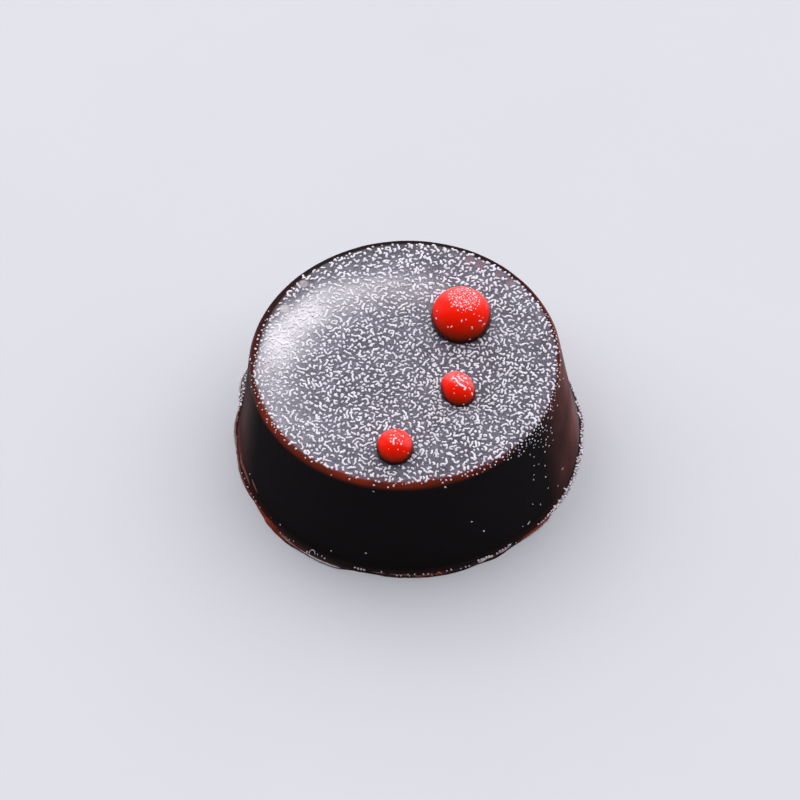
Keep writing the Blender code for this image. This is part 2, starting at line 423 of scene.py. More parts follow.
class PralineStageSettings(bpy.types.PropertyGroup):
    floor_size: FloatProperty(
        name="Floor Size", description="Side of the floor", default=6.0, min=0.1, unit="LENGTH"
    )
    floor_colour: FloatVectorProperty(
        name="Floor", description="Colour of the floor", subtype="COLOR", size=4,
        default=(0.52, 0.54, 0.56, 1.0), min=0.0, max=1.0,
    )
    sky_bright: FloatProperty(
        name="Bright Side", description="Strength of the soft light behind the praline",
        default=2.05, min=0.0,
    )
    sky_dim: FloatProperty(
        name="Dim Side", description="Strength of the soft light on the near side",
        default=0.22, min=0.0,
    )
    camera_elevation: FloatProperty(
        name="Camera Elevation", description="Angle of the view below the horizon",
        default=math.radians(53.3), subtype="ANGLE",
    )
    camera_roll: FloatProperty(
        name="Camera Roll", description="Turn of the view about its axis",
        default=math.radians(-2.9), subtype="ANGLE",
    )
    camera_distance: FloatProperty(
        name="Camera Distance", description="From the camera to the origin, along the view",
        default=300.0 * MM, unit="LENGTH",
    )
    camera_aside: FloatProperty(
        name="Camera Aside", description="How far the view passes left of the origin",
        default=0.60 * MM, unit="LENGTH", precision=5,
    )
    camera_above: FloatProperty(
        name="Camera Above", description="How far the view passes above the origin",
        default=2.96 * MM, unit="LENGTH", precision=5,
    )
    lens: FloatProperty(
        name="Lens", description="Focal length", default=151.73, unit="CAMERA"
    )


# ---- small tools -------------------------------------------------------------------------


def smooth_step(low, high, value):
    """0 below low, 1 above high, and a smooth rise between them."""
    share = min(max((value - low) / (high - low), 0.0), 1.0)
    return share * share * (3.0 - 2.0 * share)


def bump_at(value, centre, half_width):
    """A bell of height 1 round an azimuth in degrees."""
    return math.exp(-((math.remainder(value - centre, 360.0) / half_width) ** 2))


def ripple(point, size, seed=0.0):
    """Smooth noise from -1 to 1 with features of about the given size."""
    return noise.noise(Vector((point[0] / size + seed, point[1] / size - seed, point[2] / size)))


def round_the_rim(table, azimuth, column=1):
    """A value read from a table that starts with azimuths and closes on itself."""
    azimuth = (azimuth - table[0][0]) % 360.0 + table[0][0]
    place = bisect.bisect_right([row[0] for row in table], azimuth)
    before = table[place - 1]
    after = table[place] if place < len(table) else (table[0][0] + 360.0, *table[0][1:])
    share = (azimuth - before[0]) / (after[0] - before[0])
    return before[column] + (after[column] - before[column]) * share


def lip_radius(azimuth):
    """The CAD lip's radius at an azimuth in degrees."""
    azimuth = math.remainder(azimuth, 360.0)
    place = bisect.bisect_right(LIP_AZIMUTHS, azimuth)
    before, after = (place - 1) % len(LIP_AZIMUTHS), place % len(LIP_AZIMUTHS)
    gap = (LIP_AZIMUTHS[after] - LIP_AZIMUTHS[before]) % 360.0
    share = ((azimuth - LIP_AZIMUTHS[before]) % 360.0) / gap
    return LIP_RADII[before] + (LIP_RADII[after] - LIP_RADII[before]) * share


def powder_reach(point):
    """How far a point of the body lies from the middle of the top, along its surface."""
    across = math.hypot(point[0], point[1])
    if across <= FLAT_RADIUS:
        return across
    rim_height = SECTION[0][1] - RIM_ROUND
    angle = math.atan2(across - FLAT_RADIUS, point[2] - rim_height)
    if angle < RIM_SWEEP:
        return FLAT_RADIUS + RIM_ROUND * angle
    return FLAT_RADIUS + RIM_ROUND * RIM_SWEEP + (WALL_TOP[1] - point[2]) / math.cos(DRAFT)


def powder_edge(azimuth):
    """Reach of the powdered disc at an azimuth in degrees."""
    return round_the_rim(POWDER_EDGE, azimuth) * MM


def bare(point, column=None):
    """1 on a place that the grains missed, 0 elsewhere, or a column of the patches' table."""
    value = 0.0
    for patch in BARE_PATCHES:
        away = math.hypot(point[0] - patch[0] * MM, point[1] - patch[1] * MM) / (patch[2] * MM)
        worth = 1.0 if column is None else patch[column]
        value = max(value, (1.0 - smooth_step(0.75, 1.15, away)) * worth)
    return value


def new_piece(name, mesh, material, slot, *nodes):
    """Links a mesh as a piece of the praline that stands for the given CAD nodes."""
    piece = bpy.data.objects.new(name, mesh)
    bpy.context.scene.collection.objects.link(piece)
    mesh.materials.append(material)
    mesh.shade_smooth()
    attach(piece, "root")
    if nodes:
        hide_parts(*nodes)
    return piece


def closed_mesh(name, rings, columns, place):
    """A closed turned mesh; place(ring, azimuth) gives a point, and both ends are poles."""
    verts = [place(0, 0.0)]
    for ring in range(1, rings - 1):
        for column in range(columns):
            verts.append(place(ring, math.tau * column / columns))
    verts.append(place(rings - 1, 0.0))
    faces = []
    for column in range(columns):
        after = (column + 1) % columns
        faces.append((0, 1 + column, 1 + after))
        for ring in range(rings - 3):
            start = 1 + ring * columns
            faces.append((
                start + column,
                start + columns + column,
                start + columns + after,
                start + after,
            ))
        start = 1 + (rings - 3) * columns
        faces.append((start + column, len(verts) - 1, start + after))
    mesh = bpy.data.meshes.new(name)
    mesh.from_pydata(verts, [], faces)
    mesh.update()
    return mesh


def store(mesh, name, values):
    """Keeps one number for each vertex, for the materials to read."""
    mesh.attributes.new(name, "FLOAT", "POINT").data.foreach_set("value", values)


def tube_mesh(name, strands, sides):
    """Closed round-ended tubes in one mesh, with each strand's tone kept for the material.

    A strand is a list of (point, normal, width, height) and a tone.
    """
    verts, faces, tones = [], [], []
    for line, tone in strands:
        first = len(verts)
        count = len(line)
        for i, (point, normal, width, height) in enumerate(line):
            along = line[min(i + 1, count - 1)][0] - line[max(i - 1, 0)][0]
            along = (along - normal * along.dot(normal)).normalized()
            side = normal.cross(along)
            if i == 0:
                verts.append(point - along * width * 0.75)
            for corner in range(sides):
                angle = math.tau * (corner + 0.5 * (i % 2)) / sides
                verts.append(
                    point + side * width * math.cos(angle) + normal * height * math.sin(angle)
                )
            if i == count - 1:
                verts.append(point + along * width * 0.75)
        for corner in range(sides):
            after = (corner + 1) % sides
            faces.append((first, first + 1 + after, first + 1 + corner))
            for ring in range(count - 1):
                low = first + 1 + ring * sides
                faces.append((low + corner, low + after, low + sides + after, low + sides + corner))
            low = first + 1 + (count - 1) * sides
            faces.append((low + corner, low + after, low + sides))
        tones += [tone] * (len(verts) - first)
    mesh = bpy.data.meshes.new(name)
    mesh.from_pydata(verts, [], faces)
    mesh.update()
    store(mesh, "grain_tone", tones)
    return mesh


# ---- materials ---------------------------------------------------------------------------


def add_node(tree, kind, values=None, **settings):
    """A node with its settings, and its sockets' plain values by name."""
    node = tree.nodes.new(kind)
    for name, value in settings.items():
        setattr(node, name, value)
    for name, value in (values or {}).items():
        node.inputs[name].default_value = value
    return node


def group_tree(name, inputs, outputs):
    """An empty shader node group with named sockets, and its two end nodes."""
    tree = bpy.data.node_groups.new(name, "ShaderNodeTree")
    for socket, kind, value in inputs:
        made = tree.interface.new_socket(socket, in_out="INPUT", socket_type=kind)
        made.default_value = value
    for socket, kind in outputs:
        tree.interface.new_socket(socket, in_out="OUTPUT", socket_type=kind)
    return tree, tree.nodes.new("NodeGroupInput"), tree.nodes.new("NodeGroupOutput")


def soft_mottle_group():
    """Soft uneven patches between a low and a high value."""
    tree, start, end = group_tree(
        "Soft Mottle",
        (
            ("Scale", "NodeSocketFloat", 400.0),
            ("Low", "NodeSocketFloat", 0.0),
            ("High", "NodeSocketFloat", 1.0),
        ),
        (("Value", "NodeSocketFloat"),),
    )
    place = add_node(tree, "ShaderNodeTexCoord")
    cloud = add_node(tree, "ShaderNodeTexNoise", {"Detail": 4.0, "Roughness": 0.6})
    spread = add_node(tree, "ShaderNodeMapRange", {"From Min": 0.32, "From Max": 0.68})
    tree.links.new(place.outputs["Object"], cloud.inputs["Vector"])
    tree.links.new(start.outputs["Scale"], cloud.inputs["Scale"])
    tree.links.new(cloud.outputs["Fac"], spread.inputs["Value"])
    tree.links.new(start.outputs["Low"], spread.inputs["To Min"])
    tree.links.new(start.outputs["High"], spread.inputs["To Max"])
    tree.links.new(spread.outputs["Result"], end.inputs["Value"])
    return tree


def powder_film_group():
    """A film of powder too fine to see as grains: how much of it shows, and its relief."""
    tree, start, end = group_tree(
        "Powder Film",
        (
            ("Mask", "NodeSocketFloat", 1.0),
            ("Fineness", "NodeSocketFloat", 6000.0),
            ("Patchiness", "NodeSocketFloat", 500.0),
        ),
        (("Cover", "NodeSocketFloat"), ("Relief", "NodeSocketFloat")),
    )
    place = add_node(tree, "ShaderNodeTexCoord")
    fine = add_node(tree, "ShaderNodeTexNoise", {"Detail": 2.0, "Roughness": 0.7})
    patch = add_node(tree, "ShaderNodeTexNoise", {"Detail": 3.0, "Roughness": 0.55})
    fine_range = add_node(
        tree, "ShaderNodeMapRange",
        {"From Min": 0.36, "From Max": 0.64, "To Min": 0.42, "To Max": 1.14},
    )
    patch_range = add_node(
        tree, "ShaderNodeMapRange",
        {"From Min": 0.34, "From Max": 0.66, "To Min": 0.65, "To Max": 1.0},
    )
    both = add_node(tree, "ShaderNodeMath", operation="MULTIPLY")
    cover = add_node(tree, "ShaderNodeMath", operation="MULTIPLY", use_clamp=True)
    relief = add_node(tree, "ShaderNodeMath", operation="MULTIPLY")
    tree.links.new(place.outputs["Object"], fine.inputs["Vector"])
    tree.links.new(place.outputs["Object"], patch.inputs["Vector"])
    tree.links.new(start.outputs["Fineness"], fine.inputs["Scale"])
    tree.links.new(start.outputs["Patchiness"], patch.inputs["Scale"])
    tree.links.new(fine.outputs["Fac"], fine_range.inputs["Value"])
    tree.links.new(patch.outputs["Fac"], patch_range.inputs["Value"])
    tree.links.new(fine_range.outputs["Result"], both.inputs[0])
    tree.links.new(patch_range.outputs["Result"], both.inputs[1])
    tree.links.new(both.outputs["Value"], cover.inputs[0])
    tree.links.new(start.outputs["Mask"], cover.inputs[1])
    tree.links.new(fine.outputs["Fac"], relief.inputs[0])
    tree.links.new(start.outputs["Mask"], relief.inputs[1])
    tree.links.new(cover.outputs["Value"], end.inputs["Cover"])
    tree.links.new(relief.outputs["Value"], end.inputs["Relief"])
    return tree


def shared_group(name, build):
    """The named node group, built the first time that a material asks for it."""
    return bpy.data.node_groups.get(name) or build()


def place_group(tree, name, build, values):
    """Puts a shared group in a material's tree with its own values."""
    node = add_node(tree, "ShaderNodeGroup", node_tree=shared_group(name, build))
    for socket, value in values.items():
        node.inputs[socket].default_value = value
    return node


def new_material(name, values):
    """A Principled material: its tree and shader, with the shader's plain values set."""
    material = bpy.data.materials.new(name)
    material.use_nodes = True
    tree = material.node_tree
    shader = tree.nodes["Principled BSDF"]
    for socket, value in values.items():
        shader.inputs[socket].default_value = value
    return material, tree, shader


def mix_colours(tree, first, second, factor):
    """A mix of two colours, each a plain value or a socket, by a socket."""
    mix = add_node(tree, "ShaderNodeMix", data_type="RGBA")
    for socket, colour in ((6, first), (7, second)):
        if isinstance(colour, bpy.types.NodeSocket):
            tree.links.new(colour, mix.inputs[socket])
        else:
            mix.inputs[socket].default_value = tuple(colour)
    tree.links.new(factor, mix.inputs[0])
    return mix.outputs[2]


def math_node(tree, operation, first, second, clamp=False):
    """A Math node on two values, each a plain number or a socket."""
    node = add_node(tree, "ShaderNodeMath", operation=operation, use_clamp=clamp)
    for i, value in enumerate((first, second)):
        if isinstance(value, bpy.types.NodeSocket):
            tree.links.new(value, node.inputs[i])
        else:
            node.inputs[i].default_value = value
    return node.outputs["Value"]


def mask_from(tree, name):
    """The number that a mesh keeps for each vertex under a name."""
    return add_node(tree, "ShaderNodeAttribute", attribute_name=name).outputs["Fac"]


def chocolate_material(body):
    """Glossy tempered chocolate: near black on the wall, redder where thin and with painted light
    on the rim, lip and wall's sides, filmed with powder, with a pale painted highlight and sheen.
    """
    material, tree, shader = new_material(
        "dark_chocolate",
        {"Specular IOR Level": 0.0, "Coat Roughness": 0.25, "Coat IOR": 1.45},
    )
    mottle = place_group(
        tree, "Soft Mottle", soft_mottle_group, {"Scale": 420.0, "Low": 0.55, "High": 1.0}
    )
    film = place_group(
        tree, "Powder Film", powder_film_group, {"Fineness": 5200.0, "Patchiness": 420.0}
    )
    tree.links.new(mask_from(tree, "powder_haze_and_sheen"), film.inputs["Mask"])
    redness = math_node(
        tree, "MULTIPLY", mask_from(tree, "thin_and_lit_chocolate"), mottle.outputs["Value"], clamp=True
    )
    base = mix_colours(tree, body.chocolate, body.thin_and_lit_chocolate, redness)
    base = mix_colours(tree, base, body.film, film.outputs["Cover"])
    # Pale colour: painted highlight on the top, painted sheen on the wall's sides, and the powder
    # crust on the lip.
    pale_film = place_group(
        tree, "Powder Film", powder_film_group, {"Fineness": 5200.0, "Patchiness": 420.0}
    )
    pale_share = mask_from(tree, "pale_dust_and_highlight")
    tree.links.new(pale_share, pale_film.inputs["Mask"])
    pale_cover = math_node(
        tree, "ADD", math_node(tree, "MULTIPLY", pale_film.outputs["Cover"], 0.45),
        math_node(tree, "MULTIPLY", pale_share, 0.35), clamp=True,
    )
    base = mix_colours(tree, base, body.dust_and_highlight, pale_cover)
    tree.links.new(base, shader.inputs["Base Color"])

    streaks = place_group(
        tree, "Soft Mottle", soft_mottle_group, {"Scale": 900.0, "Low": 0.20, "High": 0.32}
    )
    rough = math_node(
        tree, "MULTIPLY_ADD", film.outputs["Cover"], 0.35
    )
    tree.links.new(streaks.outputs["Value"], rough.node.inputs[2])
    tree.links.new(rough, shader.inputs["Roughness"])
    coat = math_node(tree, "MULTIPLY", mask_from(tree, "gloss"), mottle.outputs["Value"])
    tree.links.new(coat, shader.inputs["Coat Weight"])

    relief = place_group(
        tree, "Soft Mottle", soft_mottle_group, {"Scale": 1500.0, "Low": 0.0, "High": 1.0}
    )
    height = math_node(tree, "MULTIPLY_ADD", film.outputs["Relief"], 0.6)
    tree.links.new(relief.outputs["Value"], height.node.inputs[2])
    bump = add_node(tree, "ShaderNodeBump", {"Strength": 0.25, "Distance": 0.012 * MM})
    tree.links.new(height, bump.inputs["Height"])
    tree.links.new(bump.outputs["Normal"], shader.inputs["Normal"])
    return material


def glaze_material(drops, dust_and_highlight):
    """Glossy translucent red glaze with painted shade low down and towards the front, a painted
    contact shadow at its foot, and a film of powder and painted highlight on its top.
    """
    material, tree, shader = new_material(
        "red_glaze",
        {"Specular IOR Level": 0.06},
    )
    mottle = place_group(
        tree, "Soft Mottle", soft_mottle_group, {"Scale": 900.0, "Low": 0.85, "High": 1.0}
    )
    film = place_group(
        tree, "Powder Film", powder_film_group, {"Fineness": 5200.0, "Patchiness": 900.0}
    )
    tree.links.new(mask_from(tree, "powder_haze_and_sheen"), film.inputs["Mask"])
    # Painted shade, with the glaze over the chocolate, darkens the drops low down.
    depth = math_node(
        tree, "MULTIPLY", mask_from(tree, "glaze_shade"), mottle.outputs["Value"], clamp=True
    )
    base = mix_colours(tree, drops.glaze, drops.deep_shaded_glaze, depth)
    # Painted contact shadow at the drops' foot.
    base = mix_colours(tree, base, drops.foot, mask_from(tree, "glaze_contact_shadow"))
    base = mix_colours(tree, base, dust_and_highlight, film.outputs["Cover"])
    tree.links.new(base, shader.inputs["Base Color"])
    rough = math_node(tree, "MULTIPLY_ADD", film.outputs["Cover"], 0.5)
    rough.node.inputs[2].default_value = 0.24
    tree.links.new(rough, shader.inputs["Roughness"])
    bump = add_node(tree, "ShaderNodeBump", {"Strength": 0.2, "Distance": 0.01 * MM})
    tree.links.new(mottle.outputs["Value"], bump.inputs["Height"])
    tree.links.new(bump.outputs["Normal"], shader.inputs["Normal"])
    return material


def powder_material(name, colour):
    """Dull white powder, a little different from grain to grain."""
    material, tree, shader = new_material(
        name, {"Roughness": 0.75, "Specular IOR Level": 0.35}
    )
    mottle = place_group(
        tree, "Soft Mottle", soft_mottle_group, {"Scale": 7000.0, "Low": 0.0, "High": 0.25}
    )
    shade = math_node(
        tree, "ADD", mask_from(tree, "grain_tone"), mottle.outputs["Value"], clamp=True
    )
    dull = [channel * 0.72 for channel in colour[:3]] + [1.0]
    tree.links.new(mix_colours(tree, colour, dull, shade), shader.inputs["Base Color"])
    bump = add_node(tree, "ShaderNodeBump", {"Strength": 0.5, "Distance": 0.02 * MM})
    tree.links.new(mottle.outputs["Value"], bump.inputs["Height"])
    tree.links.new(bump.outputs["Normal"], shader.inputs["Normal"])
    return material


# ---- the body ----------------------------------------------------------------------------


def body_rings(body):
    """The shell's half section as (across, up, zone), from the middle of the top down."""
    height = body.height
    finer = 0.88 * FLAT_RADIUS
    rings = [(finer * i / 16.0, height, "top") for i in range(16)]
    rings += [(finer + (FLAT_RADIUS - finer) * i / 14.0, height, "top") for i in range(14)]
    for i in range(13):
        angle = RIM_SWEEP * i / 12.0
        rings.append((
            FLAT_RADIUS + RIM_ROUND * math.sin(angle),
            height - RIM_ROUND + RIM_ROUND * math.cos(angle),
            "rim",
        ))
    wall_steps = 36
    for i in range(1, wall_steps):
        share = i / wall_steps
        rings.append((
            WALL_TOP[0] + (WALL_FOOT[0] - WALL_TOP[0]) * share,
            WALL_TOP[1] + (WALL_FOOT[1] - WALL_TOP[1]) * share,
            "wall",
        ))
    for i in range(7):
        angle = math.pi + DRAFT + RIM_SWEEP * i / 6.0
        rings.append((
            LIP_ROOT[0] + FOOT_ROUND * math.cos(angle),
            LIP_ROOT[1] + FOOT_ROUND + FOOT_ROUND * math.sin(angle),
            "foot",
        ))
    for i in range(1, 8):
        rings.append((i / 8.0, 1.0, "lip"))
    for i in range(7):
        angle = math.pi / 2.0 * (1.0 - i / 6.0)
        rings.append((1.0, math.sin(angle), "edge"))
    rings += [(0.5, 0.0, "lip"), (0.0, 0.0, "lip")]
    rings += [(LIP_ROOT[0] * share, 0.0, "under") for share in (0.97, 0.8, 0.4, 0.0)]
    return rings


def lip_point(body, azimuth, share, level):
    """A point of the lip: share of its width from the wall, and level from 0 below to 1 above."""
    direction = Vector((math.cos(azimuth), math.sin(azimuth), 0.0))
    degrees = math.degrees(azimuth)
    probe = direction * LIP_ROOT[0]
    width = lip_radius(degrees) - LIP_ROOT[0]
    width += body.lip_waviness * (
        0.6 * ripple(probe, 0.9 * MM, 3.0) + 0.5 * ripple(probe, 0.35 * MM, 8.0)
    )
    width = max(width, 0.10 * MM)
    edge_round = min(0.16 * MM, 0.5 * width)
    thinning = 0.42 + 0.16 * ripple(probe, 2.2 * MM, 5.0)
    thickness = body.lip_thickness * (1.0 - thinning * share)
    thickness += 0.045 * MM * share * ripple(probe + direction * share * MM, 0.7 * MM, 9.0)
    lift = 0.16 * MM * max(0.0, ripple(probe, 2.6 * MM, 12.0) - 0.10) * share * share
    if level >= 1.0:
        across = LIP_ROOT[0] + (width - edge_round) * share
        return direction * across + Vector((0.0, 0.0, thickness + lift))
    if share >= 1.0:
        across = LIP_ROOT[0] + width - edge_round * (1.0 - math.sqrt(1.0 - level * level))
        return direction * across + Vector((0.0, 0.0, lift + thickness * level))
    across = LIP_ROOT[0] + width * share
    return direction * across + Vector((0.0, 0.0, lift))


def body_point(body, rings, ring, azimuth):
    """A point of the shell on one of its rings, with the moulding's small unevenness."""
    across, up, zone = rings[ring]
    if zone in ("lip", "edge"):
        return lip_point(body, azimuth, across, up)
    direction = Vector((math.cos(azimuth), math.sin(azimuth), 0.0))
    point = direction * across + Vector((0.0, 0.0, up))
    if zone == "under":
        return point
    fall = body.crown * min(across / FLAT_RADIUS, 1.0) ** 8
    fade = smooth_step(WALL_FOOT[1], WALL_TOP[1], up)
    point.z -= fall * fade
    if zone == "top":
        point.z += 0.010 * MM * ripple(point, 4.0 * MM) * (1.0 - (across / FLAT_RADIUS) ** 4)
    wave = body.wall_waviness * (
        ripple(point, 5.0 * MM, 2.0) + 0.35 * ripple(point, 1.2 * MM, 6.0)
    )
    outward = smooth_step(0.85 * FLAT_RADIUS, FLAT_RADIUS, across) * smooth_step(
        LIP_ROOT[1], LIP_ROOT[1] + 1.0 * MM, up
    )
    rim_wave = 0.03 * MM * ripple(point, 2.0 * MM, 4.0) if zone == "rim" else 0.0
    return point + direction * (wave + rim_wave) * outward


def painted_side_sheen(degrees, point, column):
    """How far painted sheen makes the wall's sides look red (column 1) and pale (column 2), from 0
    to 1.
    """
    if point[2] > WALL_TOP[1] + 0.5 * RIM_ROUND or point[2] < LIP_ROOT[1]:
        return 0.0
    value = round_the_rim(PAINTED_WALL_SHEEN, degrees, column)
    value *= 1.0 + 0.30 * ripple(point, 2.4 * MM, 27.0)
    low = 1.0 - smooth_step(1.0 * MM, 6.0 * MM, point[2])
    if column == 1:
        return value * (1.0 + 0.4 * low)
    return value * (1.0 + (0.3 if point[0] > 0.0 else -0.5) * low)


def thin_and_lit(zone, across, azimuth, point):
    """How red the chocolate looks at a point, from 0 to 1: thin chocolate, with painted light on
    the rim and lip and painted sheen on the wall's sides and foot.
    """
    degrees = math.degrees(azimuth)
    if zone in ("lip", "edge"):
        value = round_the_rim(LIP_WARMTH, degrees) * (0.85 + 0.5 * ripple(point, 1.0 * MM, 7.0))
        return min(max(value, 0.0), 1.0) * (0.15 + 0.85 * across * across)
    if zone == "foot":
        # Painted sheen on the foot round at the wall's left and right sides.
        return 0.02 + 0.35 * bump_at(degrees, 184.0, 15.0) + 0.25 * bump_at(degrees, 0.0, 28.0)
    reach = powder_reach(point)
    rim_share = (reach - FLAT_RADIUS) / (RIM_ROUND * RIM_SWEEP)
    band = smooth_step(-0.35, 0.12, rim_share) * (1.0 - smooth_step(0.66, 1.12, rim_share))
    # Painted light: the rim band is redder where the rounded rim catches the light, by azimuth.
    warmth = round_the_rim(RIM_PAINTED_LIGHT, degrees) * (1.0 + 0.25 * ripple(point, 2.5 * MM, 1.0))
    return max(band * warmth, painted_side_sheen(degrees, point, 1), bare(point, 3))


def haze(zone, azimuth, point):
    """How much fine powder films a point, from 0 to 1, with painted sheen that makes the film
    darker towards the right front.
    """
    if zone in ("lip", "edge"):
        return 0.10 * crust_cover(point)
    if zone == "under":
        return 0.0
    degrees = math.degrees(azimuth)
    soft = 0.11 * MM + 0.17 * MM * bump_at(degrees, 184.0, 11.0)
    edge = powder_edge(degrees) + 0.10 * MM * ripple(point, 0.9 * MM, 15.0)
    edge -= 0.22 * MM * bump_at(degrees, 158.0, 28.0) + 0.08 * MM * bump_at(degrees, 205.0, 20.0)
    inside = 1.0 - smooth_step(edge - 0.10 * MM, edge + soft, powder_reach(point))
    # Painted sheen: the film fades towards the right front, away from the light.
    across = (0.80 * point[0] - 0.60 * point[1]) / FLAT_RADIUS
    sheen_fade = 1.0 - 0.15 * smooth_step(-0.35, 0.85, across)
    from_middle = math.hypot(point[0], point[1])
    far = 0.65 * bump_at(degrees, 98.0, 38.0) * smooth_step(10.6 * MM, 12.9 * MM, from_middle)
    uneven = 0.88 + 0.12 * ripple(point, 3.0 * MM, 11.0)
    return inside * sheen_fade * uneven * (1.0 - far) * (1.0 - 0.5 * bare(point, 3))


def dust_and_highlight(zone, azimuth, point):
    """How strongly the pale colour lies at a point: painted highlight and some fine powder on the
    top, painted sheen on the wall's sides, and the powder crust on the lip; the strongest is over
    1.
    """
    degrees = math.degrees(azimuth)
    if zone in ("lip", "edge"):
        return 0.35 * crust_cover(point)
    if point[2] < SECTION[0][1] - 0.5 * RIM_ROUND:
        return painted_side_sheen(degrees, point, 2)
    past = powder_reach(point) / MM - round_the_rim(HIGHLIGHT_CRESCENT, degrees)
    fall = 1.25 if past > 0.0 else 2.4
    value = round_the_rim(HIGHLIGHT_CRESCENT, degrees, 2) * math.exp(-((past / fall) ** 2))
    value = max(value * (1.0 + 0.30 * ripple(point, 1.8 * MM, 21.0)), bare(point, 4))
    edge = powder_edge(degrees)
    return value * (1.0 - smooth_step(edge - 0.15 * MM, edge + 0.25 * MM, powder_reach(point)))


def gloss(zone, azimuth):
    """How much clear gloss lies over a point: less on the wall, which the mould left satin."""
    return {"top": 0.8, "rim": 0.025, "wall": 0.02, "lip": 0.06, "edge": 0.25}.get(zone, 0.0)


class PRALINE_OT_body(bpy.types.Operator):
    """Build the moulded chocolate body with its rim, wall and lip"""

    bl_idname = "praline.body"
    bl_label = "Body"
    bl_options = {"REGISTER", "UNDO"}

    def execute(self, context):
        body = context.scene.praline_body
        rings = body_rings(body)
        columns = body.columns
        mesh = closed_mesh(
            "praline_shell", len(rings), columns,
            lambda ring, azimuth: body_point(body, rings, ring, azimuth),
        )
        redness, film, pale_film, shine = [], [], [], []
        for index, vertex in enumerate(mesh.vertices):
            ring = 0 if index == 0 else min(1 + (index - 1) // columns, len(rings) - 1)
            across, _, zone = rings[ring]
            azimuth = math.atan2(vertex.co.y, vertex.co.x)
            redness.append(thin_and_lit(zone, across, azimuth, vertex.co))
            film.append(haze(zone, azimuth, vertex.co))
            pale_film.append(dust_and_highlight(zone, azimuth, vertex.co))
            shine.append(gloss(zone, azimuth))
        store(mesh, "thin_and_lit_chocolate", redness)
        store(mesh, "powder_haze_and_sheen", film)
        store(mesh, "pale_dust_and_highlight", pale_film)
        store(mesh, "gloss", shine)
        new_piece("praline_shell", mesh, chocolate_material(body), "dark_chocolate", BODY_NODE)
        return {"FINISHED"}


def surface_of(*names):
    """The faces of the named pieces as a tree that finds the nearest point."""
    verts, faces = [], []
    for name in names:
        mesh = bpy.data.objects[name].data
        first = len(verts)
        verts += [vertex.co.copy() for vertex in mesh.vertices]
        faces += [[first + i for i in face.vertices] for face in mesh.polygons]
    return BVHTree.FromPolygons(verts, faces), verts, faces


def smooth_path(path, leg, share):
    """A point part of the way along one leg of a path, on a curve through all its points."""
    before, after = path[max(leg - 1, 0)], path[min(leg + 2, len(path) - 1)]
    first, second = path[leg], path[leg + 1]
    return [
        0.5 * (
            2.0 * b + (c - a) * share
            + (2.0 * a - 5.0 * b + 4.0 * c - d) * share ** 2
            + (3.0 * b - a - 3.0 * c + d) * share ** 3
        )
        for a, b, c, d in zip(before, first, second, after, strict=True)
    ]


class PRALINE_OT_curls(bpy.types.Operator):
    """Build the threads and flakes of chocolate that stand on the lip"""

    bl_idname = "praline.curls"
    bl_label = "Lip Curls"
    bl_options = {"REGISTER", "UNDO"}

    def execute(self, context):
        shell = bpy.data.objects.get("praline_shell")
        if shell is None:
            raise RuntimeError("The body has to be built before its curls")
        strands = []
        red, pale = [], []
        for number, (path, half, warmth, pale_share) in enumerate(CURLS):
            line = []
            steps = 9
            for i in range(steps * (len(path) - 1) + 1):
                leg = min(i // steps, len(path) - 2)
                azimuth, across, up = smooth_path(path, leg, i / steps - leg)
                azimuth = math.radians(azimuth)
                direction = Vector((math.cos(azimuth), math.sin(azimuth), 0.0))
                wobble = 0.02 * MM * ripple(direction * 15.0 * MM, 0.4 * MM, 20.0 + number)
                point = direction * (across * MM + wobble)
                point.z = max(up - 0.5 * half, 1.15 * half) * MM
                ends = min(i, steps * (len(path) - 1) - i) / steps
                swell = 0.35 + 0.65 * smooth_step(0.0, 0.9, ends)
                swell *= 1.0 + 0.28 * ripple(point, 0.4 * MM, 30.0 + number)
                width = half * MM * swell
                line.append((point, Vector((0.0, 0.0, 1.0)), width, 0.8 * width))
            strands.append((line, 0.0))
            red += [warmth] * (10 * len(line) + 2)
            pale += [pale_share] * (10 * len(line) + 2)
        mesh = tube_mesh("lip_curls", strands, 10)
        places = [vertex.co for vertex in mesh.vertices]
        store(mesh, "thin_and_lit_chocolate", [
            value * (1.0 + 0.25 * ripple(place, 0.8 * MM, 4.0))
            for value, place in zip(red, places, strict=True)
        ])
        store(mesh, "pale_dust_and_highlight", [
            value * (1.3 + 0.8 * ripple(place, 0.35 * MM, 6.0))
            for value, place in zip(pale, places, strict=True)
        ])
        store(mesh, "powder_haze_and_sheen", [0.0] * len(places))
        store(mesh, "gloss", [0.08] * len(places))
        new_piece("lip_curls", mesh, shell.data.materials[0], "dark_chocolate")
        return {"FINISHED"}


# ---- the drops ---------------------------------------------------------------------------


